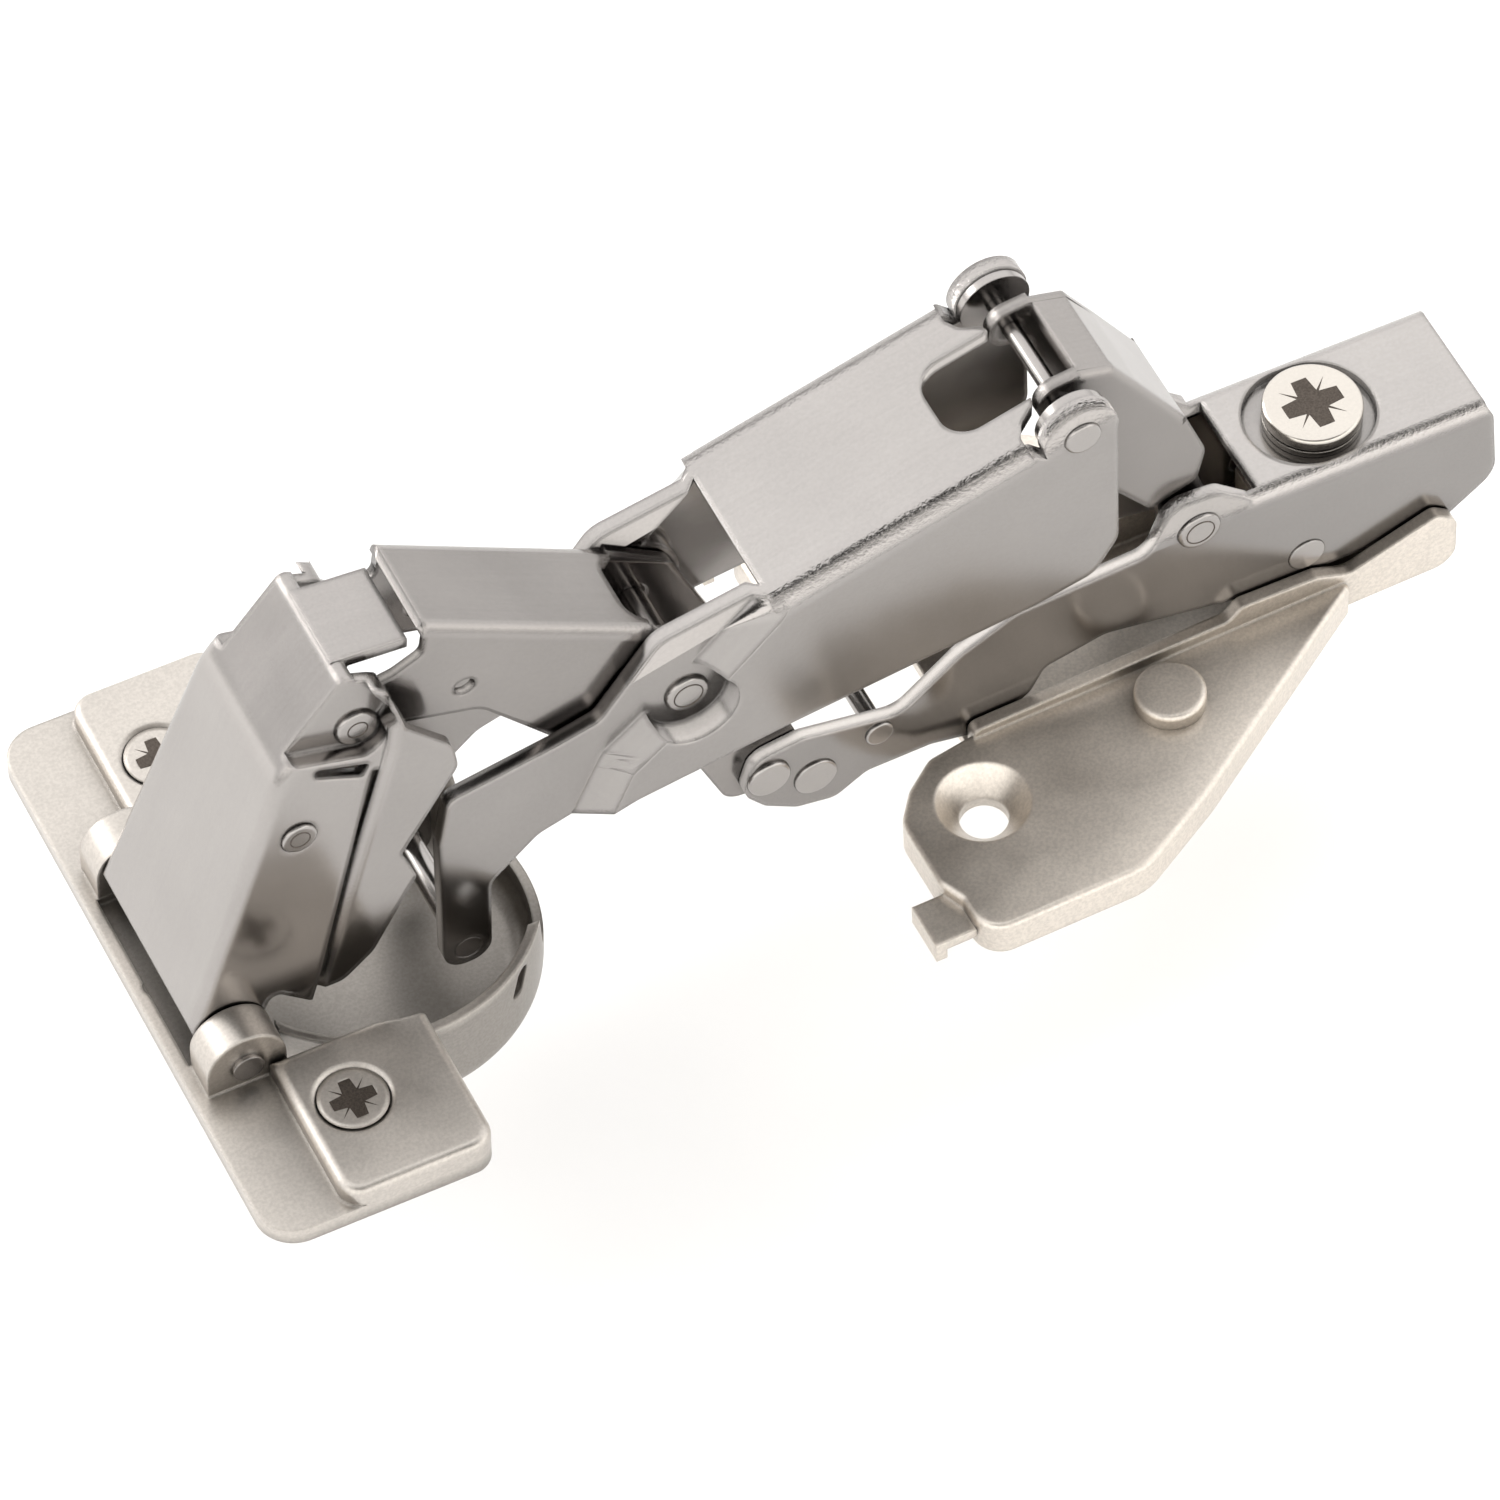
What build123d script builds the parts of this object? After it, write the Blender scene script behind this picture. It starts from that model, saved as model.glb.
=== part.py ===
"""Concealed cup hinge, wide angle, for a furniture door.

A stamped steel cup with a screw flange drops into a 35 mm blind hole in the
door, a stamped plate screws to the cabinet side, and five stamped links on
seven pivots join the two.  All pieces are drawn as the hinge stands with the
door square to the cabinet side, seen from the side: x runs along the arm from
the door to the cabinet, z away from the plate, and the hinge is the same on
both sides of y = 0.  The links are drawn about the midpoint of the two flange
screws, and place() then carries them to the frame of the mounting plate:
origin between its two screw holes, on the face that meets the cabinet.
"""
from build123d import *
import os

# Side positions (x, z) of the pivots, about the midpoint of the flange screws
FOOT = (18.9, -5.8)
KNUCKLE = (-7.6, 0.5)
LINK = (8.7, 34.8)
CENTRE = (42.4, 21.2)
LOWER = (51.3, 1.9)
REAR = (82.7, 40.6)
SHORT = (97.8, 14.6)
COVER_RIVET = (1.4, 24.7)
NOSE = (56.4, -0.9)
STOP = (63.3, 2.0)
GUIDE = (110.3, 3.6)

# Where the plate lies under the links, and how far the arm tips up from it
PLATE_ORIGIN = (70.5, -7.0)
ARM_PITCH = 2.3

# Pins and running clearances
SIDE_GAP = 0.1
PIN_FIT = 0.05
PIN_R = 1.6
FOOT_PIN_R = 1.4
HEAD_R = 2.3
HEAD_H = 0.5
THROUGH = 20.0
FOLD_R = 1.1

# Cup and flange
CUP_R = 17.5
CUP_X = 11.1
CUP_WALL = 1.0
CUP_DEPTH = 10.6
CUP_CORNER = 3.8
ARM_GATE = [(-10.6, 0), (-8.8, -9.0), (8.8, -9.0), (10.6, 0)]
FLANGE_LENGTH = 65.6
FLANGE_LEFT = -13.2
FLANGE_CORNER = 4.0
PAD_LEFT = -5.4
PAD_RIGHT = 10.4
PAD_INNER = 15.2
PAD_HEIGHT = 4.3
PAD_WALL = 1.2
STRIP_HEIGHT = 2.0
RELIEF_LEFT = -11.9
RELIEF_HALF = 10.85
RELIEF_DEPTH = 1.0
KNUCKLE_R = 4.1
KNUCKLE_IN = 10.9
KNUCKLE_OUT = 15.0
DISC_AT = (-11.0, -0.8)
CUP_SLOT_AT = (21.3, -5.0)

# Flange screws
SCREW_SPACING = 45.0
SCREW_R = 1.75
SCREW_HEAD_R = 3.5
SCREW_LENGTH = 16.0

# Cover link, between the cup knuckles and the middle link
COVER_WALL = 1.3
COVER_STRIP = 9.2
COVER_FOOT = 10.8
COVER_HEAD = 8.3
COVER_FOLD_R = 1.2
COVER_SEAT = 9.4
COVER_LEAF = 10.0
COVER_POCKET = 7.0
LINK_HEAD_R = 2.2
TONGUE_HALF = 4.65

# Middle link
MIDDLE_OUT = 5.8
MIDDLE_WALL = 1.0

# Long arm
LONG_OUT = 10.3
LONG_WALL = 1.6
LONG_FOOT_OUT = 7.7
CENTRE_RING_R = 4.4
EAR_R = 3.9
FORK_START = 72.1
FORK_SLOT = 9.0
FORK_SLOT_R = 3.0
REAR_PIN_R = 0.9
REAR_HEAD_R = 1.9
COLLAR_R = 3.7
COLLAR_H = 1.0

# Short link
SHORT_OUT = 5.7
SHORT_WALL = 1.3
SHORT_EYE_OUT = 4.9
SHORT_EYE_R = 2.8

# Hinge arm
ARM_OUT = 7.3
ARM_WALL = 1.4
ARM_TOP = 15.6
ARM_FRONT = 104.0
FRONT_SET_BACK = 104.95
ARM_REAR = 131.0
ARM_FOLD_R = 1.6
RECESS_R = 6.1
RECESS_DEPTH = 1.0
SLIDE_BACK = 1.0
SLIDE_AHEAD = 0.3

# Clamp screw and the block it turns in
CLAMP_X = 114.2
CLAMP_HEAD_R = 5.0
CLAMP_HEAD_H = 2.4
CLAMP_SHANK_R = 2.9
CLAMP_SHANK = 15.0
CLAMP_SLOT_R = 3.4
BLOCK = (38.6, 49.6, 5.6, 10.0)

# Mounting plate, in its own frame
HOLE_SPACING = 32.0
HOLE_R = 2.45
DIMPLE_TOP_R = 4.75
BOSS_R = 5.9
WING_Z = 4.1
WING_WALL = 1.3
TROUGH_OUT = 8.9
TROUGH_WALL = 1.4
STUD_AT = (21.7, 13.7)
STUD_R = 3.6
STUD_H = 1.9
STUD_SHANK_R = 1.8


def outline(points, radius):
    """Face in the side view with the given corner radii."""
    return make_face(FilletPolyline(*points, radius=radius, close=True))


def prism(face, inner, outer):
    """Side-view face extruded on the near side, from |y| = inner to outer."""
    return extrude(Plane.XZ.offset(inner) * face, amount=outer - inner)


def pressed(face, inner, outer):
    """As prism, with flanks that lean at 45 degrees, as a press leaves them."""
    return extrude(Plane.XZ.offset(inner) * face, amount=outer - inner, taper=45)


def both_sides(near):
    """The near-side shape and its mirror image."""
    return near + mirror(near, about=Plane.XZ)


def disc(centre, radius, inner, outer):
    """Round on the near side about a pivot."""
    return prism(Pos(*centre) * Circle(radius), inner, outer)


def across(centre, radius, half):
    """Bar right across the hinge about a pivot."""
    return extrude(Plane.XZ * (Pos(*centre) * Circle(radius)), amount=half, both=True)


def slab(points, half, radius=0.1):
    """Sheet right across the hinge, from its side-view outline."""
    return extrude(Plane.XZ * outline(points, [radius] * len(points)), amount=half, both=True)


def fold(start, end, half, radius=FOLD_R):
    """Cutter that rounds both outer edges of a bent sheet, along a line of the side view."""
    run = Vector(end[0] - start[0], 0, end[1] - start[1])
    at = Plane(origin=(start[0], 0, start[1]), x_dir=(0, 1, 0), z_dir=run)
    low = (Align.MIN, Align.MIN)
    corner = Rectangle(2 * radius, 2 * radius, align=low) - Circle(radius)
    cutter = extrude(at * Pos(half - radius, -radius) * corner, amount=run.length)
    return both_sides(cutter)


def rivet(centre, reach, radius=PIN_R, head_r=HEAD_R, head_h=HEAD_H):
    """Pin across the hinge with a low domed head on each end."""
    head = disc(centre, head_r, reach, reach + head_h)
    head = fillet(head.edges().sort_by(Axis.Y)[0], head_h * 0.7)
    return across(centre, radius, reach) + both_sides(head)


def stub(centre, side, head_r=HEAD_R, head_h=HEAD_H):
    """Short rivet in one wall of the hinge arm, headed outside it."""
    head = disc(centre, head_r, ARM_OUT, ARM_OUT + head_h)
    head = fillet(head.edges().sort_by(Axis.Y)[0], head_h * 0.7)
    near = disc(centre, PIN_R, ARM_OUT - ARM_WALL, ARM_OUT) + head
    return near if side < 0 else mirror(near, about=Plane.XZ)


def place(shape):
    """Carry a piece from the frame of the links to the frame of the plate."""
    return Rot(0, ARM_PITCH, 0) * Pos(-PLATE_ORIGIN[0], 0, -PLATE_ORIGIN[1]) * shape


def flange_pad(side):
    """Raised hollow pad at one end of the flange."""
    half = FLANGE_LENGTH / 2
    middle = side * (half + PAD_INNER) / 2
    width = PAD_RIGHT - PAD_LEFT
    depth = half - PAD_INNER
    at = Pos((PAD_LEFT + PAD_RIGHT) / 2, middle, -PAD_HEIGHT)
    pad = at * extrude(Rectangle(width, depth), amount=PAD_HEIGHT)
    corners = pad.edges().filter_by(Axis.Z).group_by(Axis.Y)[0 if side < 0 else -1]
    pad = fillet(corners, FLANGE_CORNER * 0.6)
    pad = fillet(pad.faces().sort_by(Axis.Z)[-1].edges(), 0.9)
    hollow = at * extrude(Rectangle(width - 2 * PAD_WALL, depth - 2 * PAD_WALL), amount=PAD_HEIGHT - PAD_WALL)
    return pad, hollow


def cup_flange():
    """Cup, flange and two knuckles, one stamping."""
    floor_z = -PAD_HEIGHT - CUP_DEPTH
    strip_top = STRIP_HEIGHT - PAD_HEIGHT
    strip_width = PAD_LEFT + 2 - FLANGE_LEFT
    strip = extrude(Rectangle(strip_width, FLANGE_LENGTH), amount=STRIP_HEIGHT)
    body = Pos(FLANGE_LEFT + strip_width / 2, 0, -PAD_HEIGHT) * strip
    body = fillet(body.edges().filter_by(Axis.Z).group_by(Axis.X)[0], FLANGE_CORNER)
    for side in (-1, 1):
        pad, hollow = flange_pad(side)
        body = body + pad - hollow
    wall = Pos(CUP_X, 0, floor_z) * extrude(Circle(CUP_R), amount=CUP_DEPTH + STRIP_HEIGHT)
    body += fillet(wall.edges().sort_by(Axis.Z)[0], CUP_CORNER)
    hollow = Pos(CUP_X, 0, floor_z + CUP_WALL) * extrude(Circle(CUP_R - CUP_WALL), amount=2 * CUP_DEPTH)
    body -= fillet(hollow.edges().sort_by(Axis.Z)[0], CUP_CORNER - CUP_WALL)
    # Gate in the rim, where the long arm lies when the door is shut
    gate = make_face(FilletPolyline(*ARM_GATE, radius=[0.1, 2.0, 2.0, 0.1], close=True))
    body -= extrude(Plane.YZ.offset(CUP_X) * gate, amount=CUP_R + 2)
    low = (Align.MIN, Align.CENTER, Align.MIN)
    # Shallow seat in the strip for the end of the cover link
    relief = Box(PAD_LEFT - RELIEF_LEFT + 3, 2 * RELIEF_HALF, 12, align=low)
    body -= Pos(RELIEF_LEFT, 0, strip_top - RELIEF_DEPTH) * relief
    knuckle = disc(KNUCKLE, KNUCKLE_R, KNUCKLE_IN, KNUCKLE_OUT)
    foot_height = KNUCKLE[1] - strip_top
    foot = Pos(KNUCKLE[0], strip_top + foot_height / 2) * Rectangle(2 * KNUCKLE_R, foot_height)
    body += both_sides(knuckle + prism(foot, KNUCKLE_IN, KNUCKLE_OUT))
    body -= across(KNUCKLE, PIN_R, KNUCKLE_OUT + 1)
    slot = prism(Pos(*CUP_SLOT_AT) * SlotOverall(3.6, 1.5, rotation=70), PAD_INNER - 3, CUP_R + 1)
    body -= both_sides(slot)
    mark = Pos(*DISC_AT, strip_top) * Cylinder(1.2, 0.4)
    body -= mark
    for side in (-1, 1):
        at = Pos(0, side * SCREW_SPACING / 2, 0)
        body -= at * Pos(0, 0, -PAD_HEIGHT) * Cylinder(SCREW_R + 0.2, 20)
        top = (Align.CENTER, Align.CENTER, Align.MAX)
        body -= at * Cone(SCREW_R + 0.2, SCREW_HEAD_R + 0.5, 1.6, align=top)
    return body


def cup_screw(side):
    """Countersunk screw that holds the flange to the door."""
    top = (Align.CENTER, Align.CENTER, Align.MAX)
    head = Cone(SCREW_R, SCREW_HEAD_R, 1.4, align=top)
    shank = Cylinder(SCREW_R, SCREW_LENGTH - 4, align=top)
    tip = Cone(0.3, SCREW_R, 4, align=top)
    screw = Pos(0, 0, -0.15) * head + Pos(0, 0, -1) * shank + Pos(0, 0, 3 - SCREW_LENGTH) * tip
    screw -= Pos(0, 0, -0.15) * cross_recess(4.4, 0.8, 1.6)
    return Pos(0, side * SCREW_SPACING / 2, 0) * screw


def cross_recess(size, width, depth):
    """Cross-shaped driver recess, to be cut down from z = 0."""
    bars = Rectangle(size, width) + Rectangle(width, size) + Circle(width * 0.9)
    return extrude(Plane.XY.offset(-depth) * bars, amount=depth + 1)


def cover_body(inward):
    """The cover link's bent strip as a solid block, its faces moved inward."""
    back = [(-15.0, -7.6), (-0.4, 32.8), (16.0, 52.6), (60.0, 52.6), (60.0, -7.6)]
    side = make_face(Polyline(*back, close=True))
    side = fillet(side.vertices().sort_by_distance(back[1])[0], 12.0)
    block = extrude(Plane.XZ * offset(side, amount=-inward), amount=THROUGH, both=True)
    spread = (COVER_FOOT - COVER_HEAD) / 40
    low, high = COVER_FOOT - inward + 12 * spread, COVER_HEAD - inward - 12 * spread
    front = make_face(Polyline((-low, -9.4), (-high, 54.6), (high, 54.6), (low, -9.4), close=True))
    return block & extrude(Plane.YZ.offset(-40) * front, amount=120)


def cover_link():
    """Channel that covers the cup and hangs it from the middle link."""
    side = outline([(-11.3, 2.6), (-0.4, 32.8), (7.7, 42.6), (11.4, 40.2), (12.6, 35.4), (17.2, 30.2), (17.6, 27.0),
                    (11.4, 16.6), (12.9, 12.4), (8.0, 3.2), (4.8, 0.4), (1.0, 0.4), (-2.8, 4.0), (-4.9, -0.6),
                    (-5.2, -2.2), (-10.1, -2.2)],
                   [1.0, 12.0, 1.0, 1.0, 2.0, 2.0, 2.0, 1.0, 1.0, 3.0, 2.0, 1.0, 1.0, 1.0, 1.0, 2.6])
    strip = outline([(-30, -20), (-30, 60), (22, 60), (9.6, 31.4), (-4.4, -20)], [0.5] * 5)
    leaf = outline([(-3.4, -20), (10.8, 33.0), (14, 60), (60, 60), (60, -20)], [0.5] * 5)
    body = cover_body(0)
    edges = [edge for edge in body.edges() if abs(edge.center().Y) > 5 and edge.center().X < 12]
    body = fillet(edges, COVER_FOLD_R)
    outer = (prism(strip, 0, COVER_FOOT) & body) + prism(leaf, 0, COVER_STRIP)
    outer += pressed(leaf, COVER_STRIP, COVER_LEAF)
    strip_in = COVER_STRIP - COVER_WALL
    inner = (prism(strip, 0, COVER_FOOT) & cover_body(COVER_WALL)) + prism(leaf, 0, strip_in)
    inner += pressed(leaf, strip_in, COVER_LEAF - COVER_WALL)
    shell = (prism(side, 0, COVER_FOOT) & outer) - inner
    # Sunk seat for the head of the link pin, with a slot under it
    seat = outline([(0.6, 32.6), (7.4, 42.2), (13.6, 39.4), (12.4, 29.2)], [1.0] * 4)
    shell += prism(seat, MIDDLE_OUT + SIDE_GAP, COVER_STRIP) & prism(side, 0, COVER_LEAF) & body
    window = outline([(1.6, 34.4), (9.2, 32.2), (12.0, 37.2), (10.2, 40.3), (8.6, 44.6), (0.6, 37.6)],
                     [1.0, 1.0, 1.5, 1.0, 0.3, 0.3])
    shell -= prism(window, COVER_POCKET, THROUGH)
    shell -= disc(LINK, LINK_HEAD_R + SIDE_GAP, COVER_POCKET, THROUGH)
    shell -= prism(outline([(3.4, 33.2), (9.2, 31.2), (8.4, 29.6), (3.6, 31.8)], [0.5] * 4), 5, THROUGH)
    shell -= disc(COVER_RIVET, REAR_HEAD_R, COVER_SEAT, THROUGH)
    cover = both_sides(shell)
    cover += slab([(7.4, 42.4), (15.3, 41.6), (15.2, 40.4), (8.0, 41.1)], TONGUE_HALF)
    cover -= across(LINK, PIN_R, THROUGH) + across(COVER_RIVET, PIN_R, THROUGH)
    cover -= across(KNUCKLE, PIN_R + PIN_FIT, THROUGH)
    return cover


def middle_link():
    """Channel that swings on the nose of the hinge arm and carries the scissor pivot."""
    side = outline([(5.95, 32.05), (5.95, 37.55), (10.8, 37.9), (13.4, 38.4), (16.3, 39.8), (16.8, 43.7),
                    (40.2, 29.6), (46.6, 25.0), (55.4, 4.4), (53.3, -1.8), (47.6, -1.4), (40.6, 15.2),
                    (30.6, 18.0), (22.0, 28.4), (13.6, 31.0), (9.6, 32.05)],
                   [2.7, 2.7, 1.0, 1.0, 1.2, 0.3, 1.0, 3.0, 3.5, 3.0, 2.5, 3.0, 3.0, 4.0, 3.0, 1.0])
    link = both_sides(prism(side, MIDDLE_OUT - MIDDLE_WALL, MIDDLE_OUT))
    link += slab([(16.7, 43.7), (40.2, 29.6), (39.5, 28.4), (16.3, 42.3)], MIDDLE_OUT)
    link -= fold((16.7, 43.7), (40.2, 29.6), MIDDLE_OUT)
    notch = Plane(origin=(40.2, 0, 29.6), x_dir=(0, 1, 0), z_dir=(0.516, 0, 0.857)) * SlotOverall(8.0, 4.2)
    link -= extrude(notch, amount=6, both=True)
    for pivot in (LINK, CENTRE, LOWER):
        link -= across(pivot, PIN_R + PIN_FIT, THROUGH)
    link -= across((20.4, 32.6), 1.1, THROUGH)
    return link


def long_arm():
    """Long bent arm from the cup to the rear pivot, crossed by the middle link."""
    side = outline([(16.3, -8.2), (16.3, 12.0), (17.4, 18.4), (29.0, 20.6), (33.4, 21.8), (39.6, 30.4),
                    (50.4, 32.6), (77.6, 40.6), (79.2, 39.0), (82.7, 41.5), (86.5, 40.8), (87.2, 22.8), (84.8, 18.6),
                    (78.7, 17.1), (53.0, 13.7), (36.0, 11.0), (26.6, 8.0), (21.5, 3.2), (21.3, -8.2)],
                   [2.3, 2.5, 1.5, 2.0, 1.5, 3.0, 3.0, 0.8, 0.5, 0.2, 0.2, 3.0, 2.5, 3.0, 3.0, 6.0, 3.0, 2.0, 2.3])
    side += Pos(*REAR) * Circle(EAR_R)
    raised = outline([(28.0, 4.0), (33.4, 16.8), (39.6, 22.0), (49.4, 32.0), (49.4, 80), (120, 80), (120, -40),
                      (28.0, -40)], [1.0] * 8)
    foot_in = LONG_FOOT_OUT - LONG_WALL
    ring = disc(CENTRE, CENTRE_RING_R, 0, THROUGH)
    outer = prism(raised, 0, LONG_FOOT_OUT) + pressed(raised, LONG_FOOT_OUT, LONG_OUT) - ring
    inner = prism(raised, 0, foot_in) + pressed(raised, foot_in, LONG_OUT - LONG_WALL)
    inner -= disc(CENTRE, CENTRE_RING_R + LONG_WALL, foot_in, THROUGH)
    shell = (prism(side, 0, LONG_OUT) & outer) + prism(side, 0, LONG_FOOT_OUT)
    shell = shell - inner - prism(side, 0, foot_in)
    arm = both_sides(shell)
    top = slab([(50.4, 32.6), (80.2, 41.4), (80.6, 39.9), (50.8, 31.1)], LONG_OUT - 0.4)
    # The fork: a slot and, outside each horn, a slanted notch
    top -= extrude(Pos(FORK_START + 10, 0) * RectangleRounded(20, FORK_SLOT, FORK_SLOT_R), amount=60)
    notch = make_face(FilletPolyline((77.4, -12.0), (77.4, -8.0), (78.2, -6.5), (80.0, -5.3), (80.4, -4.0),
                                     (90.0, -4.0), (90.0, -12.0), radius=[0.1, 0.8, 0.8, 0.5, 0.1, 0.1, 0.1], close=True))
    top -= both_sides(extrude(notch, amount=60))
    arm += top
    arm -= fold((50.2, 32.54), (77.4, 40.54), LONG_OUT)
    arm -= across(CENTRE, PIN_R, THROUGH) + across(REAR, REAR_PIN_R, THROUGH) + across(FOOT, FOOT_PIN_R, THROUGH)
    return arm


def rear_collar(side):
    """Spacer on the rear pin, between the ears of the long arm and the short link."""
    inside = LONG_OUT - LONG_WALL
    ring = disc(REAR, COLLAR_R, inside - COLLAR_H, inside) - across(REAR, REAR_PIN_R, THROUGH)
    return ring if side < 0 else mirror(ring, about=Plane.XZ)


def short_link():
    """Short channel from the rear pivot of the long arm to the hinge arm."""
    side = outline([(80.4, 38.3), (80.4, 42.9), (84.6, 43.4), (88.6, 42.2), (91.4, 38.2), (96.8, 30.2), (99.0, 24.6),
                    (98.2, 20.4), (93.3, 18.4), (88.0, 25.0), (86.0, 32.0), (84.6, 38.3)],
                   [2.2, 2.2, 0.8, 1.0, 1.0, 3.0, 3.0, 1.2, 1.0, 4.0, 6.0, 1.0])
    link = prism(side, SHORT_OUT - SHORT_WALL, SHORT_OUT)
    # The lower eyes are joggled inward
    eye = outline([(95.1, 14.0), (93.8, 21.0), (97.8, 22.4), (100.5, 15.0)], [0.2] * 4) + Pos(*SHORT) * Circle(SHORT_EYE_R)
    link = both_sides(link + prism(eye, SHORT_EYE_OUT - SHORT_WALL, SHORT_EYE_OUT))
    link += slab([(84.9, 43.3), (88.5, 42.2), (91.4, 38.2), (96.8, 30.2), (95.7, 29.5), (90.3, 37.4), (87.8, 41.0),
                  (84.5, 42.0)], SHORT_OUT - 0.4)
    top = [(84.8, 43.3), (88.6, 42.2), (91.4, 38.2), (96.8, 30.2)]
    for start, end in zip(top, top[1:]):
        link -= fold(start, end, SHORT_OUT, 0.8)
    link -= across(REAR, REAR_PIN_R + PIN_FIT, THROUGH) + across(SHORT, PIN_R, THROUGH)
    return link


def hinge_arm():
    """Channel that clamps on the plate and carries both rear links."""
    side = outline([(103.8, ARM_TOP), (ARM_REAR - 0.6, ARM_TOP), (ARM_REAR + 0.4, 5.0), (126.0, 0.7),
                    (104.0, 0.5), (88.0, 3.6), (81.4, 2.0), (79.9, -1.0), (75.2, -4.6), (69.0, -3.2), (62.0, -3.4),
                    (58.6, -5.6), (54.4, -4.8), (51.0, -2.6), (48.6, 0.4), (49.8, 5.0), (55.0, 5.8), (65.6, 3.6),
                    (72.0, 9.3), (78.0, 12.4), (92.6, 13.4), (94.6, 19.4), (100.0, 19.0)],
                   [1.0, 2.0, 3.5, 2.0, 2.0, 3.0, 1.5, 1.5, 2.5, 2.0, 2.0, 2.0, 2.0, 2.0, 2.5, 2.5, 2.0, 3.0, 4.0, 3.0,
                    2.0, 2.5, 2.0])
    arm = both_sides(prism(side, ARM_OUT - ARM_WALL, ARM_OUT))
    under = ARM_TOP - ARM_WALL
    arm += slab([(ARM_FRONT, ARM_TOP), (ARM_REAR - 1, ARM_TOP), (ARM_REAR - 1, under), (ARM_FRONT, under)], ARM_OUT - 0.3)
    arm -= fold((ARM_FRONT - 0.4, ARM_TOP), (ARM_REAR - 0.4, ARM_TOP), ARM_OUT, ARM_FOLD_R)
    # The front edge is set back where the short link comes down on it in the closed door
    arm -= prism(outline([(100, 10), (100, 20), (FRONT_SET_BACK, 20), (FRONT_SET_BACK, 10)], [0.1] * 4), 0, SHORT_OUT + 0.2)
    arm -= prism(outline([(100, 10), (100, 20), (FRONT_SET_BACK, 20), (FRONT_SET_BACK, 10)], [0.1] * 4), -SHORT_OUT - 0.2, 0)
    middle = CLAMP_X - (SLIDE_BACK - SLIDE_AHEAD) / 2
    travel = SLIDE_BACK + SLIDE_AHEAD
    recess = extrude(SlotCenterToCenter(travel, 2 * RECESS_R), amount=5)
    arm -= Pos(middle, 0, ARM_TOP - RECESS_DEPTH) * recess
    slit = extrude(SlotCenterToCenter(travel, 2 * CLAMP_SLOT_R), amount=10)
    arm -= Pos(middle, 0, ARM_TOP - 8) * slit
    for pivot in (LOWER, SHORT, NOSE, GUIDE):
        arm -= across(pivot, PIN_R, THROUGH)
    arm -= across(STOP, 1.0, THROUGH)
    return arm


def clamp_screw():
    """Clamp screw that holds the hinge arm down on the plate."""
    base = ARM_TOP - RECESS_DEPTH + PIN_FIT
    head = Cylinder(CLAMP_HEAD_R, CLAMP_HEAD_H, align=(Align.CENTER, Align.CENTER, Align.MIN))
    head = fillet(head.edges().sort_by(Axis.Z)[-1], 0.4)
    groove = Pos(0, 0, 0.9) * (Cylinder(CLAMP_HEAD_R + 1, 0.35) - Cylinder(CLAMP_HEAD_R - 0.4, 0.35))
    shank = Cylinder(CLAMP_SHANK_R, CLAMP_SHANK, align=(Align.CENTER, Align.CENTER, Align.MAX))
    screw = head + shank - groove - Pos(0, 0, CLAMP_HEAD_H) * cross_recess(6.0, 1.1, 2.0)
    return Pos(CLAMP_X, 0, base) * screw


def clamp_block():
    """Threaded block on the floor of the trough, in the frame of the plate."""
    front, rear, half, top = BLOCK
    block = Pos((front + rear) / 2, 0, (WING_WALL + top) / 2) * Box(rear - front, 2 * half, top - WING_WALL)
    block = chamfer(block.edges().filter_by(Axis.Z), 1.0)
    bore = Pos(CLAMP_X, 0, 0) * Cylinder(CLAMP_SHANK_R + PIN_FIT, 60)
    return block - place(bore)


def mounting_plate():
    """Pressed plate with two wings and a trough that takes the hinge arm."""
    edge = [(3.0, -TROUGH_OUT + 0.7), (-2.4, -8.9), (-5.8, -11.4), (-8.2, -14.5), (-8.2, -22.6), (-7.0, -25.4),
            (-7.0, -30.3), (10.6, -30.3), (20.4, -24.9), (44.2, -9.4), (43.0, -TROUGH_OUT + 0.7)]
    radii = [0.6, 2.0, 3.0, 3.0, 2.5, 1.0, 3.0, 7.0, 6.0, 0.6, 0.6]
    wing_face = make_face(FilletPolyline(*edge, radius=radii, close=True))
    wing = extrude(wing_face, amount=WING_Z)
    wing = fillet(wing.faces().sort_by(Axis.Z)[-1].edges(), 0.5)
    wing -= extrude(offset(wing_face, amount=-WING_WALL), amount=WING_Z - WING_WALL)
    hole = Pos(0, -HOLE_SPACING / 2, 0)
    wing += hole * Cylinder(BOSS_R, WING_Z - 0.5, align=(Align.CENTER, Align.CENTER, Align.MIN))
    wing -= hole * Pos(0, 0, WING_WALL) * Cone(HOLE_R, DIMPLE_TOP_R, WING_Z - WING_WALL, align=(
        Align.CENTER, Align.CENTER, Align.MIN))
    wing -= hole * Cylinder(HOLE_R, 20)
    wing -= Pos(STUD_AT[0], -STUD_AT[1], 0) * Cylinder(STUD_SHANK_R, 20)
    rail = outline([(2.6, 0), (2.6, 5.2), (30.8, 5.5), (32.2, 7.0), (40.6, 6.6), (44.2, 5.0), (54.0, 8.4),
                    (56.2, 6.6), (56.2, 0)], [0.2, 1.0, 1.5, 1.0, 1.5, 2.0, 1.2, 1.5, 2.4])
    near = wing + prism(rail, TROUGH_OUT - TROUGH_WALL, TROUGH_OUT)
    tab = slab([(-11.4, 0.0), (-11.4, 2.6), (-7.0, 2.6), (-7.0, 1.4), (-10.2, 1.4), (-10.2, 0.0)], 2.6)
    near += Pos(0, -25.6, 0) * tab
    floor = Pos(2.6, 0, 0) * Box(52.6, 2 * TROUGH_OUT - 1, WING_WALL, align=(Align.MIN, Align.CENTER, Align.MIN))
    return both_sides(near) + floor


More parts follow.
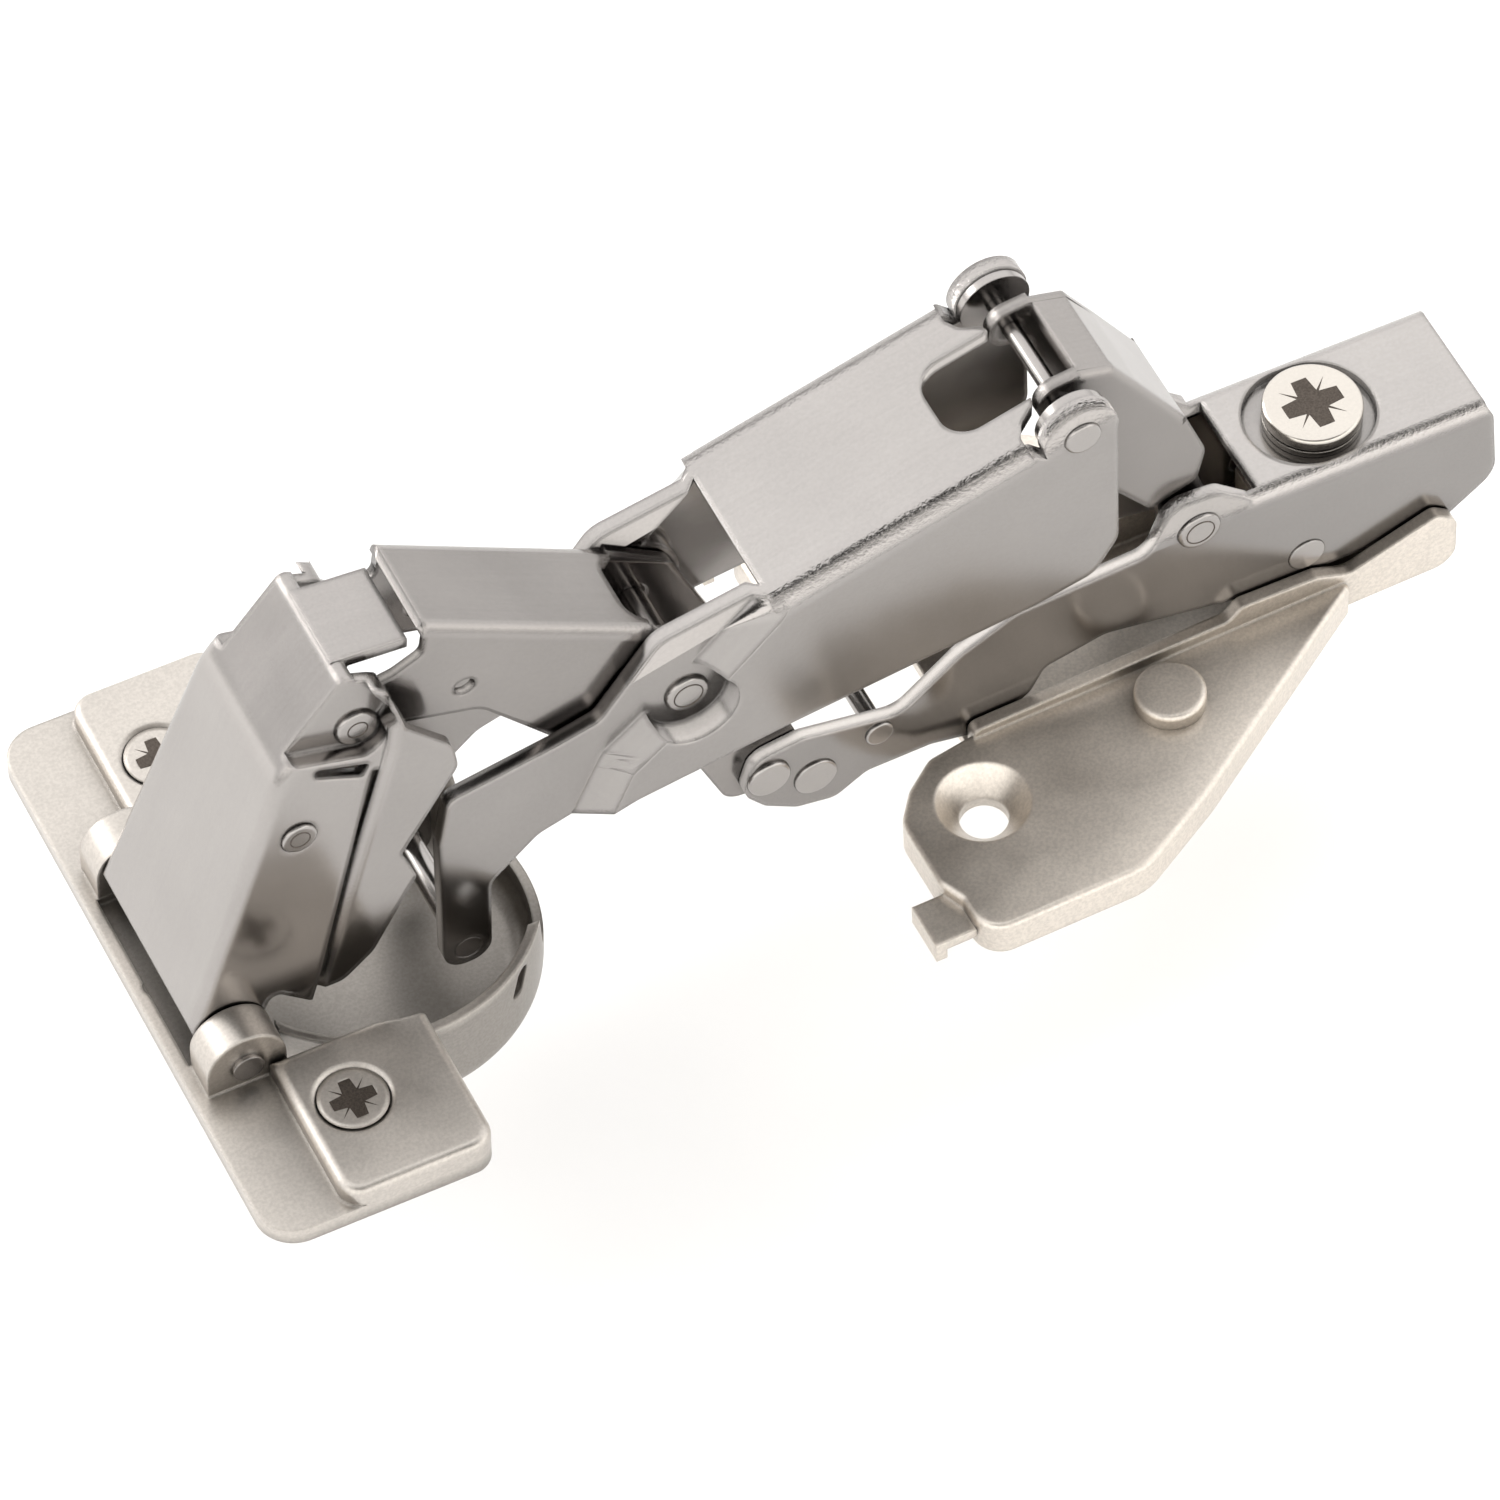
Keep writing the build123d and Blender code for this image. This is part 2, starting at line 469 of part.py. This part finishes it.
def plate_stud(side):
    """Stud riveted into a wing, in the frame of the plate."""
    low = (Align.CENTER, Align.CENTER, Align.MIN)
    head = Pos(0, 0, WING_Z) * Cylinder(STUD_R, STUD_H, align=low)
    head = fillet(head.edges().sort_by(Axis.Z)[-1], 0.5)
    shank = Pos(0, 0, WING_Z - WING_WALL) * Cylinder(STUD_SHANK_R, WING_WALL, align=low)
    return Pos(STUD_AT[0], side * STUD_AT[1], 0) * (head + shank)


ON_LINKS = {
    "cup_flange": cup_flange(),
    "cup_screw_near": cup_screw(-1),
    "cup_screw_far": cup_screw(1),
    "knuckle_pin": across(KNUCKLE, PIN_R, KNUCKLE_OUT + 0.5),
    "cover_link": cover_link(),
    "cover_rivet": rivet(COVER_RIVET, COVER_SEAT, head_r=1.8, head_h=0.35),
    "link_pin": rivet(LINK, COVER_POCKET, head_r=LINK_HEAD_R),
    "middle_link": middle_link(),
    "long_arm": long_arm(),
    "foot_pin": across(FOOT, FOOT_PIN_R, LONG_FOOT_OUT),
    "centre_pin": rivet(CENTRE, LONG_FOOT_OUT),
    "rear_pin": rivet(REAR, LONG_OUT, REAR_PIN_R, REAR_HEAD_R),
    "rear_collar_near": rear_collar(-1),
    "rear_collar_far": rear_collar(1),
    "short_link": short_link(),
    "short_pin": across(SHORT, PIN_R, SHORT_EYE_OUT),
    "hinge_arm": hinge_arm(),
    "lower_pin": rivet(LOWER, ARM_OUT),
    "nose_stud_near": stub(NOSE, -1, head_h=0.3),
    "nose_stud_far": stub(NOSE, 1, head_h=0.3),
    "stop_pin": rivet(STOP, ARM_OUT, radius=1.0, head_r=1.5, head_h=0.3),
    "short_stud_near": stub(SHORT, -1),
    "short_stud_far": stub(SHORT, 1),
    "guide_stud_near": stub(GUIDE, -1, head_r=2.0, head_h=0.2),
    "guide_stud_far": stub(GUIDE, 1, head_r=2.0, head_h=0.2),
    "clamp_screw": clamp_screw(),
}
ON_PLATE = {
    "mounting_plate": mounting_plate(),
    "clamp_block": clamp_block(),
    "plate_stud_near": plate_stud(-1),
    "plate_stud_far": plate_stud(1),
}
os.makedirs("parts", exist_ok=True)
for name, piece in ON_LINKS.items():
    export_step(place(piece), f"parts/{name}.step")
for name, piece in ON_PLATE.items():
    export_step(piece, f"parts/{name}.step")
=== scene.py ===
# %% [markdown]
# # A concealed cup hinge in nickel-plated steel
#
# The hinge is stamped from sheet steel and plated with nickel. The CAD model brings its
# shapes and pivots. This script brings the looks: the finish of the plated sheet with its
# painted shade, painted shade for the small struck marks and driver recesses, one spring,
# the light and the camera.

# %% Load the imported model
import math

import bmesh
import bpy
from mathutils import Matrix, Vector


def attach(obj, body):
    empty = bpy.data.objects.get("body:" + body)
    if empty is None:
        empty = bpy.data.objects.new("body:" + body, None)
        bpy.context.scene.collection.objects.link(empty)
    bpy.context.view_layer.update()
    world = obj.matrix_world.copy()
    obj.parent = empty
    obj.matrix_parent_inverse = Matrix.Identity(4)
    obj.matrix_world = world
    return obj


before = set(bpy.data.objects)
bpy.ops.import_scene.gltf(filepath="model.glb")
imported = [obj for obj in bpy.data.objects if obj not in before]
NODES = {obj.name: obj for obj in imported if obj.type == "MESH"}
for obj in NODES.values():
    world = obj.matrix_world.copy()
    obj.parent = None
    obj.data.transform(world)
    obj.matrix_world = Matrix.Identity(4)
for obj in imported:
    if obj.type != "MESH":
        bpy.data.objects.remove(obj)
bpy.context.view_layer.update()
MM = 0.001
print("CAD nodes:", len(NODES))

# %% [markdown]
# ## Two frames
#
# The drawing of the links has its origin between the two flange screws, with x along the
# hinge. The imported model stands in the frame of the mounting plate, tipped by 2.3 degrees.
# Measured points are easier to read in the drawing's frame, so one function carries them.

# %% Carry points from the frame of the links
ARM_PITCH = math.radians(2.3)
PLATE_ORIGIN = Vector((70.5, 0.0, -7.0))
TIP = Matrix.Rotation(ARM_PITCH, 4, "Y")
PLACE = Matrix.Scale(MM, 4) @ TIP @ Matrix.Translation(-PLATE_ORIGIN)


def placed(x, y, z):
    """A point of the drawing, in mm, as a point of the scene, in metres."""
    return PLACE @ Vector((x, y, z))


# %% [markdown]
# ## The camera
#
# The photograph was taken with a long lens from above the front left. The angles, the
# distance and the lens were worked out from the edges of the screw heads, the flange and
# the plate, whose sizes are known, so the render can be laid over the photograph.

# %% Set the camera where the photograph was taken
CAMERA_HEIGHT = 0.9290171
CAMERA_TURN = 0.4578781
CAMERA_ROLL = 0.0000661
FOCAL_PX = 9280.26
PHOTO_PX = 1500.0
DISTANCE_MM = 889.7486
ORIGIN_PX = (254.888, 923.964)
SENSOR_MM = 36.0

back = Vector((-math.sin(CAMERA_TURN) * math.cos(CAMERA_HEIGHT),
               -math.cos(CAMERA_TURN) * math.cos(CAMERA_HEIGHT),
               math.sin(CAMERA_HEIGHT)))
right = Vector((math.cos(CAMERA_TURN), -math.sin(CAMERA_TURN), 0.0))
up = back.cross(right)
px_mm = DISTANCE_MM / FOCAL_PX
centre = (back * DISTANCE_MM
          - right * (ORIGIN_PX[0] - PHOTO_PX / 2) * px_mm
          + up * (ORIGIN_PX[1] - PHOTO_PX / 2) * px_mm)
turn = Matrix((right, up, back)).transposed().to_4x4()
roll = Matrix.Rotation(CAMERA_ROLL, 4, "Z")
camera_data = bpy.data.cameras.new("camera")
camera_data.sensor_width = SENSOR_MM
camera_data.lens = FOCAL_PX / PHOTO_PX * SENSOR_MM
camera_data.clip_start = 0.05
camera_data.clip_end = 20.0
camera = bpy.data.objects.new("camera", camera_data)
camera.matrix_world = Matrix.Translation(placed(*centre)) @ TIP @ turn @ roll
bpy.context.scene.collection.objects.link(camera)
bpy.context.scene.camera = camera
print("lens, mm:", round(camera_data.lens, 1))

# %% [markdown]
# ## Colours and nodes
#
# Colours are written as the hex values that a picture editor shows, and one function turns
# them into the linear values that Blender mixes. One more function adds a shader node
# with its settings and links, so each material below reads as a short list.


# %% Helpers for colours and nodes
def linear(hex_colour):
    """An sRGB hex colour as linear RGBA."""
    channels = [int(hex_colour[i:i + 2], 16) / 255 for i in (1, 3, 5)]
    turned = [c / 12.92 if c <= 0.04045 else ((c + 0.055) / 1.055) ** 2.4 for c in channels]
    return (*turned, 1.0)


def add(tree, kind, settings=None, **links):
    """Adds a node. A link is a value, a node, or a node's output; a name's _ stands for a space."""
    node = tree.nodes.new("ShaderNode" + kind)
    for name, value in (settings or {}).items():
        setattr(node, name, value)
    for name, value in links.items():
        key = int(name[1:]) if name[0] == "i" and name[1:].isdigit() else name.replace("_", " ")
        if isinstance(value, bpy.types.Node):
            tree.links.new(value.outputs[0], node.inputs[key])
        elif isinstance(value, bpy.types.NodeSocket):
            tree.links.new(value, node.inputs[key])
        else:
            node.inputs[key].default_value = value
    return node


def ramp(tree, fac, *stops):
    """A colour ramp over fac, with stops of (place, colour)."""
    node = add(tree, "ValToRGB", Fac=fac)
    elements = node.color_ramp.elements
    for i, (place, colour) in enumerate(stops):
        element = elements[i] if i < 2 else elements.new(place)
        element.position = place
        element.color = colour if len(colour) == 4 else (*colour, 1.0)
    return node


# %% [markdown]
# ## Nickel on stamped steel
#
# Bright nickel is laid over rolled and stamped steel sheet. The plating follows what lies
# under it: the fine grain that the rolls leave, the faint ripple of the pressed faces, and
# a bright rounded line on every edge that was tumbled before plating. The colour is a
# warm grey, with painted shade laid into it: darker in hollows and near other parts, on the
# faces along y where asked, and deep in the cup. All patterns are in object coordinates,
# scaled from their real size.


# %% Make one nickel finish
STREAK_STRETCH = 0.03
STREAK_MM = 0.5
STAIN_MM = 11
SHADE_REACH_MM = 7
SHADER_SAMPLES = 4
# Share of the bend radius squared at which a fold shows its full grain
BEND_CORE = 0.4
DEEP_SHADE_FADE_MM = 1.5


def nickel(name, tint, roughness, round_mm, grain_mm, grain_depth, fold_depth,
           streak=0.012, speckle=0.02, bend_line=None, painted_shade_depth_z=None, painted_side_shade=1.0):
    """Nickel over sheet steel. Sizes and depths are in mm, streak and speckle are shares.

    bend_line gives two points (x, z) of the drawing on the top of a channel, its half
    width and the radius of the bend there. painted_shade_depth_z is the height below which the
    colour is
    painted darker, down to 0.6 of itself: painted shade deep in the cup.
    flank is painted shade: how much darker the faces along y are painted than the rest.
    """
    material = bpy.data.materials.new(name)
    material.use_nodes = True
    tree = material.node_tree
    tree.nodes.clear()
    place = add(tree, "TexCoord").outputs["Object"]
    # The strip is rolled lengthwise, so its streaks run at right angles to y
    along = add(tree, "VectorMath", {"operation": "MULTIPLY"}, i0=place,
                i1=(STREAK_STRETCH, 1.0, STREAK_STRETCH))
    streaks = add(tree, "TexNoise", Vector=along, Scale=1 / (STREAK_MM * MM), Detail=3.0,
                  Roughness=0.6)
    grain = add(tree, "TexNoise", Vector=place, Scale=1 / (grain_mm * MM), Detail=2.0,
                Roughness=0.6)
    stain = add(tree, "TexNoise", Vector=place, Scale=1 / (STAIN_MM * MM), Detail=3.0,
                Roughness=0.55)
    # Painted shade: the colour darkens, down to 0.32 of itself, where other surfaces stand near: in
    # hollows, creases and between parts.
    nearby = add(tree, "AmbientOcclusion", {"samples": SHADER_SAMPLES},
                 Distance=SHADE_REACH_MM * MM).outputs["AO"]
    painted_hollow_shade = add(tree, "MapRange", Value=nearby, From_Min=0.15, From_Max=0.85,
                 To_Min=0.32, To_Max=1.0)
    # Every edge is a little rounded. Bends look neither along y nor square to it
    rounded = add(tree, "Bevel", {"samples": SHADER_SAMPLES}, Radius=round_mm * MM)
    facing = add(tree, "SeparateXYZ", Vector=rounded).outputs["Y"]
    side = add(tree, "Math", {"operation": "ABSOLUTE"}, i0=facing)
    bend = ramp(tree, side, (0.0, (0, 0, 0)), (0.12, (1, 1, 1)), (0.9, (1, 1, 1)),
                (0.99, (0, 0, 0)))
    depth = add(tree, "MapRange", Value=bend, To_Min=grain_depth * MM, To_Max=fold_depth * MM)
    if bend_line:
        start, end, half, radius = bend_line
        rise, run = end[1] - start[1], end[0] - start[0]
        upward = (PLACE.to_3x3() @ Vector((-rise, 0.0, run))).normalized()
        level = upward.dot(placed(start[0], 0.0, start[1]))
        over = add(tree, "VectorMath", {"operation": "DOT_PRODUCT"}, i0=place,
                   i1=tuple(upward)).outputs["Value"]
        under = add(tree, "Math", {"operation": "ADD", "use_clamp": True}, i0=over,
                    i1=radius * MM - level)
        width = add(tree, "SeparateXYZ", Vector=place).outputs["Y"]
        across = add(tree, "Math", {"operation": "ABSOLUTE"}, i0=width)
        outer = add(tree, "Math", {"operation": "ADD", "use_clamp": True}, i0=across,
                    i1=(radius - half) * MM)
        corner = add(tree, "CombineXYZ", X=under, Y=outer)
        reach = add(tree, "VectorMath", {"operation": "LENGTH"}, i0=corner).outputs["Value"]
        height = add(tree, "Math", {"operation": "MULTIPLY"}, i0=reach, i1=-1.0)
        rounded = add(tree, "Bump", Strength=1.0, Distance=1.0, Height=height, Normal=rounded)
        both = add(tree, "Math", {"operation": "MULTIPLY"}, i0=under, i1=outer)
        share = add(tree, "Math", {"operation": "DIVIDE", "use_clamp": True}, i0=both,
                    i1=(radius * MM) ** 2 * BEND_CORE)
        depth = add(tree, "MapRange", Value=share, To_Min=grain_depth * MM, To_Max=fold_depth * MM)
    fine = add(tree, "Bump", Strength=1.0, Distance=depth, Height=grain, Normal=rounded)
    shade = add(tree, "MapRange", Value=stain, From_Min=0.3, From_Max=0.7, To_Min=0.96, To_Max=1.03)
    spots = add(tree, "MapRange", Value=grain, From_Min=0.35, From_Max=0.65,
                To_Min=1 - speckle, To_Max=1 + speckle)
    lines = add(tree, "MapRange", Value=streaks, From_Min=0.35, From_Max=0.65,
                To_Min=1 - streak, To_Max=1 + streak)
    light = add(tree, "Math", {"operation": "MULTIPLY"}, i0=shade, i1=spots)
    light = add(tree, "Math", {"operation": "MULTIPLY"}, i0=light, i1=lines)
    light = add(tree, "Math", {"operation": "MULTIPLY"}, i0=light, i1=painted_hollow_shade)
    # Painted shade: faces that look along y are painted darker than the rest.
    if painted_side_shade < 1.0:
        side_painted_darker = add(tree, "MapRange", Value=side, From_Min=0.8, From_Max=1.0,
                     To_Min=1.0, To_Max=painted_side_shade)
        light = add(tree, "Math", {"operation": "MULTIPLY"}, i0=light, i1=side_painted_darker)
    # Painted shade: below this height the colour fades darker, down to 0.6 of itself, deep in the
    # cup.
    if painted_shade_depth_z is not None:
        low = placed(0.0, 0.0, painted_shade_depth_z).z
        level = add(tree, "SeparateXYZ", Vector=place).outputs["Z"]
        deep_painted_shade = add(tree, "MapRange", Value=level, From_Min=low - DEEP_SHADE_FADE_MM * MM,
                   From_Max=low, To_Min=0.6, To_Max=1.0)
        light = add(tree, "Math", {"operation": "MULTIPLY"}, i0=light, i1=deep_painted_shade)
    colour = add(tree, "VectorMath", {"operation": "SCALE"}, i0=linear(tint)[:3], Scale=light)
    rough = add(tree, "MapRange", Value=stain, From_Min=0.3, From_Max=0.7,
                To_Min=roughness * 0.85, To_Max=roughness * 1.2)
    metal = add(tree, "BsdfPrincipled", Base_Color=colour, Metallic=1.0, Roughness=rough,
                Normal=fine)
    add(tree, "OutputMaterial", Surface=metal)
    return material


# The finishes differ for real between satin and bright nickel, but the copies of bright nickel on
# the links and arms differ in tint as painted light and shade. Each is set lighter or darker to
# match how brightly that part is lit, and the plate's satin is painted lighter than the cup's as
# painted light.
satin_nickel = nickel("satin nickel on pressed steel", "#C3BDB6", 0.36, 0.5, 0.35,
                      0.004, 0.012, 0.01, 0.07, painted_shade_depth_z=-2.6)
bright_nickel = nickel("bright nickel on rolled strip", "#A5A19E", 0.17, 0.9, 0.30, 0.001, 0.010)
short_nickel = nickel("bright nickel on the short link", "#9A9693", 0.22, 0.9, 0.30,
                      0.001, 0.010, painted_side_shade=0.9)
long_nickel = nickel("bright nickel on the long arm", "#AFABA8", 0.18, 0.8, 0.40,
                     0.001, 0.070, painted_side_shade=0.82,
                     bend_line=((50.4, 32.6), (80.2, 41.4), 10.3, 2.6))
middle_nickel = nickel("bright nickel on the middle link", "#9B9794", 0.16, 0.8, 0.35,
                       0.001, 0.02, bend_line=((16.7, 43.7), (40.2, 29.6), 5.8, 1.3))
deck_nickel = nickel("bright nickel on the arm", "#B3AFAC", 0.18, 0.8, 0.35,
                     0.001, 0.050, painted_side_shade=0.68,
                     bend_line=((104.0, 15.6), (131.0, 15.6), 7.3, 2.0))
plate_nickel = nickel("satin nickel on the plate", "#DED6CC", 0.36, 0.5, 0.35,
                      0.005, 0.012, 0.01, 0.08)
pin_nickel = nickel("nickel on turned pins", "#ACA8A5", 0.20, 0.2, 0.25, 0.001, 0.001, 0.0)
screw_nickel = nickel("nickel on screw heads", "#CFC9C1", 0.22, 0.2, 0.25, 0.001, 0.001, 0.0)
print("shader nodes in the satin finish:", len(satin_nickel.node_tree.nodes))

# %% Give each CAD node its finish
FINISH = {
    "cup_steel": satin_nickel,
    "link_steel": bright_nickel,
    "arm_steel": deck_nickel,
    "plate_steel": plate_nickel,
    "pin_steel": pin_nickel,
    "screw_steel": screw_nickel,
}
# The short link, the long arm and the middle link get their own copies of bright nickel, tinted
# lighter or darker as painted light and shade.
OWN_FINISH = {
    "short_link": short_nickel,
    "long_arm": long_nickel,
    "middle_link": middle_nickel,
    "plate_stud_near": plate_nickel,
    "plate_stud_far": plate_nickel,
    "cup_screw_near": satin_nickel,
    "cup_screw_far": satin_nickel,
}
for name, node in NODES.items():
    for slot in node.material_slots:
        finish = next(FINISH[key] for key in FINISH if key in slot.material.name)
        slot.material = OWN_FINISH.get(name, finish)
used = {slot.material.name for node in NODES.values() for slot in node.material_slots}
print("finishes in use:", len(used))

# %% [markdown]
# ## Painted shade of marks and driver recesses, and a spring
#
# The driver recesses of the three screws are broad crosses with four fine rays between
# the arms, laid on the heads as thin dark films of painted shade. Rivet heads carry the ring
# that the setting tool left, drawn as a fine wire of dark steel as painted shade. A light
# torsion spring lies round the lower pin of the short link.

# %% Small finishes, two of them painted shade
painted_shade_in_recesses = nickel("shaded steel in a driver recess", "#57504A", 0.42, 0.1, 0.2,
                   0.002, 0.002, 0.0, 0.2)
ring_painted_shade = nickel("painted shade in a struck ring", "#6B645E", 0.38, 0.1, 0.2,
                      0.001, 0.001, 0.0, 0.1)
spring_steel = nickel("bright spring wire", "#C9C4BE", 0.24, 0.1, 0.2,
                      0.001, 0.001, 0.0, 0.05)


# %% Helpers for pieces
def piece(name, mesh, material, body):
    """Finishes a bmesh as an object that rides on a body."""
    bmesh.ops.recalc_face_normals(mesh, faces=mesh.faces)
    data = bpy.data.meshes.new(name)
    mesh.to_mesh(data)
    mesh.free()
    data.materials.append(material)
    made = bpy.data.objects.new(name, data)
    bpy.context.scene.collection.objects.link(made)
    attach(made, body)
    return made


def star(reach, arm_width, corner, ray_reach, ray_width):
    """Outline of a driver recess: four arms, with a fine ray in each corner."""
    half = arm_width / 2
    quarter = [(reach, -half), (reach, half), (corner + ray_width, corner), (ray_reach, ray_reach),
               (corner, corner + ray_width)]
    points = []
    for i in range(4):
        c, s = math.cos(i * math.pi / 2), math.sin(i * math.pi / 2)
        points += [(x * c - y * s, x * s + y * c) for x, y in quarter]
    return points


def add_plate(mesh, points, at, thickness):
    """Thin plate with that outline, its underside at the point at."""
    corners = [mesh.verts.new(placed(at[0] + x, at[1] + y, at[2])) for x, y in points]
    base = mesh.faces.new(corners)
    raised = bmesh.ops.extrude_face_region(mesh, geom=[base])["geom"]
    top = [v for v in raised if isinstance(v, bmesh.types.BMVert)]
    lift = PLACE.to_3x3() @ Vector((0.0, 0.0, thickness))
    bmesh.ops.translate(mesh, verts=top, vec=lift)


# %% Painted shade of the driver recesses of the screws
SCREWS = {
    "near": ((0.0, -22.5, -0.15), 2.25, "cup"),
    "far": ((0.0, 22.5, -0.15), 2.25, "cup"),
    "clamp": ((114.2, 0.0, 17.05), 3.05, "screw"),
}
# Each recess is a thin flat film of dark steel on the screw head: painted shade for the shade down
# in a recess.
FILM = 0.02
for name, (at, reach, body) in SCREWS.items():
    mesh = bmesh.new()
    outline = star(reach, reach * 0.54, reach * 0.34, reach * 0.80, reach * 0.06)
    add_plate(mesh, outline, at, FILM)
    piece("recess_" + name, mesh, painted_shade_in_recesses, body)


# %% Painted shade of struck rings on rivet heads
WIRE_SIDES = 8
RING_STEPS = 40
RING_WIRE_MM = 0.07
QUARTER_TURN = Matrix.Rotation(math.pi / 2, 3, "X")


def add_ring(mesh, pivot, y, radius, wire):
    """Fine ring about a pivot, half sunk in the face at y."""
    section = bmesh.ops.create_circle(mesh, segments=WIRE_SIDES, radius=wire)["verts"]
    bmesh.ops.translate(mesh, verts=section, vec=(radius, 0.0, 0.0))
    bmesh.ops.rotate(mesh, verts=section, cent=(radius, 0, 0), matrix=QUARTER_TURN)
    geometry = section + list({edge for vert in section for edge in vert.link_edges})
    before = set(mesh.verts) - set(section)
    bmesh.ops.spin(mesh, geom=geometry, cent=(0, 0, 0), axis=(0, 0, 1), angle=math.tau,
                   steps=RING_STEPS, use_merge=True)
    made = [vert for vert in mesh.verts if vert not in before]
    bmesh.ops.rotate(mesh, verts=made, cent=(0, 0, 0), matrix=QUARTER_TURN)
    for vert in made:
        vert.co = placed(*(vert.co + Vector((pivot[0], y, pivot[1]))))


# Each ring is a fine wire of dark steel, half sunk in the head: painted shade for the groove that
# the tool struck.
RIVETS = {
    "link": ((8.7, 34.8), 7.5, 1.0, "cover"),
    "cover": ((1.4, 24.7), 9.75, 1.0, "cover"),
    "centre": ((42.4, 21.2), 8.2, 1.5, "long"),
    "short": ((97.8, 14.6), 7.8, 1.5, "arm"),
}
for name, (pivot, reach, radius, body) in RIVETS.items():
    mesh = bmesh.new()
    for side in (-1, 1):
        add_ring(mesh, pivot, side * reach, radius, RING_WIRE_MM)
    piece("ring_" + name, mesh, ring_painted_shade, body)


# %% Torsion spring on the lower pin of the short link
COIL_STEPS = 28


def add_coil(mesh, pivot, half, radius, wire, turns):
    """Helix of round wire about a pivot, between y = -half and half."""
    last = None
    count = turns * COIL_STEPS
    rim = [math.tau * k / WIRE_SIDES for k in range(WIRE_SIDES)]
    for i in range(count + 1):
        angle = math.tau * i / COIL_STEPS
        outward = Vector((math.cos(angle), 0.0, math.sin(angle)))
        middle = Vector((pivot[0], -half + 2 * half * i / count, pivot[1])) + outward * radius
        loop = [mesh.verts.new(placed(*(middle + outward * wire * math.cos(a)
                                        + Vector((0, wire * math.sin(a), 0)))))
                for a in rim]
        if last:
            for k in range(WIRE_SIDES):
                mesh.faces.new((last[k], last[k - 1], loop[k - 1], loop[k]))
        else:
            mesh.faces.new(loop)
        last = loop
    mesh.faces.new(last)


mesh = bmesh.new()
add_coil(mesh, (97.8, 14.6), 2.9, 2.05, 0.32, 7)
piece("short_link_spring", mesh, spring_steel, "short")

# %% [markdown]
# ## Floor and light
#
# The photograph shows the hinge on plain white with soft light from all round. Nickel shows
# what stands round it, so the sky is built as a studio: a bright tent behind the hinge, a
# dark gap over the camera and a bright panel below that gap. One large lamp adds a soft
# shadow. The floor is matt white paper. It lies low, so that the opened cup clears it.

# %% Floor
FLOOR_HALF = 3.0
# The cup swings down to 24 mm under the plate as the door opens past square
FLOOR_Z = -25 * MM
floor_mesh = bmesh.new()
bmesh.ops.create_grid(floor_mesh, x_segments=1, y_segments=1, size=FLOOR_HALF,
                      matrix=Matrix.Translation((0, 0, FLOOR_Z)))
floor_data = bpy.data.meshes.new("floor")
floor_mesh.to_mesh(floor_data)
floor_mesh.free()
floor = bpy.data.objects.new("floor", floor_data)
bpy.context.scene.collection.objects.link(floor)
paper = bpy.data.materials.new("matt white paper")
paper.use_nodes = True
paper.node_tree.nodes.clear()
sheet = add(paper.node_tree, "BsdfPrincipled", Base_Color=linear("#FBFBFB"), Roughness=0.9)
sheet.inputs["Specular IOR Level"].default_value = 0.2
add(paper.node_tree, "OutputMaterial", Surface=sheet)
floor_data.materials.append(paper)

# %% Sky and lamp
world = bpy.data.worlds.new("studio")
world.use_nodes = True
sky = world.node_tree
sky.nodes.clear()
ray = add(sky, "TexCoord").outputs["Generated"]
east, north, height = add(sky, "SeparateXYZ", Vector=ray).outputs


def fade(value, low, high):
    """0 below low, 1 above high, and smooth between."""
    return add(sky, "MapRange", {"interpolation_type": "SMOOTHSTEP"}, Value=value,
               From_Min=low, From_Max=high)


def mixed(share, ground, top):
    """Ground where share is 0 and top where it is 1."""
    return add(sky, "MixRGB", Fac=share, Color1=ground, Color2=top)


# near is the half of the sky on the camera's side, and high is the part over the camera
near = fade(north, -0.05, -0.18)
high = fade(height, 0.66, 0.78)
tent = mixed(fade(height, 0.0, 0.35), (1.02, 1.01, 1.00, 1), (1.52, 1.51, 1.50, 1))
panel = mixed(fade(height, 0.02, 0.12), (0.25, 0.24, 0.23, 1), (2.00, 1.97, 1.92, 1))
front = mixed(high, panel, (0.03, 0.028, 0.026, 1))
dome = add(sky, "Background", Color=mixed(near, tent, front), Strength=1.0)
add(sky, "OutputWorld", Surface=dome)
bpy.context.scene.world = world

LAMPS = {
    "key": ((-0.75, 1.0, 0.5), 0.7, 8.0, "#FFFDFB"),
}
for name, (at, size, power, tint) in LAMPS.items():
    lamp_data = bpy.data.lights.new(name, "AREA")
    lamp_data.size = size
    lamp_data.energy = power
    lamp_data.color = linear(tint)[:3]
    lamp = bpy.data.objects.new(name, lamp_data)
    # The lamp looks from its place to the origin
    aim = -Vector(at)
    lamp.matrix_world = (Matrix.Translation(at)
                         @ aim.to_track_quat("-Z", "Y").to_matrix().to_4x4())
    bpy.context.scene.collection.objects.link(lamp)
bpy.context.scene.view_settings.view_transform = "Standard"
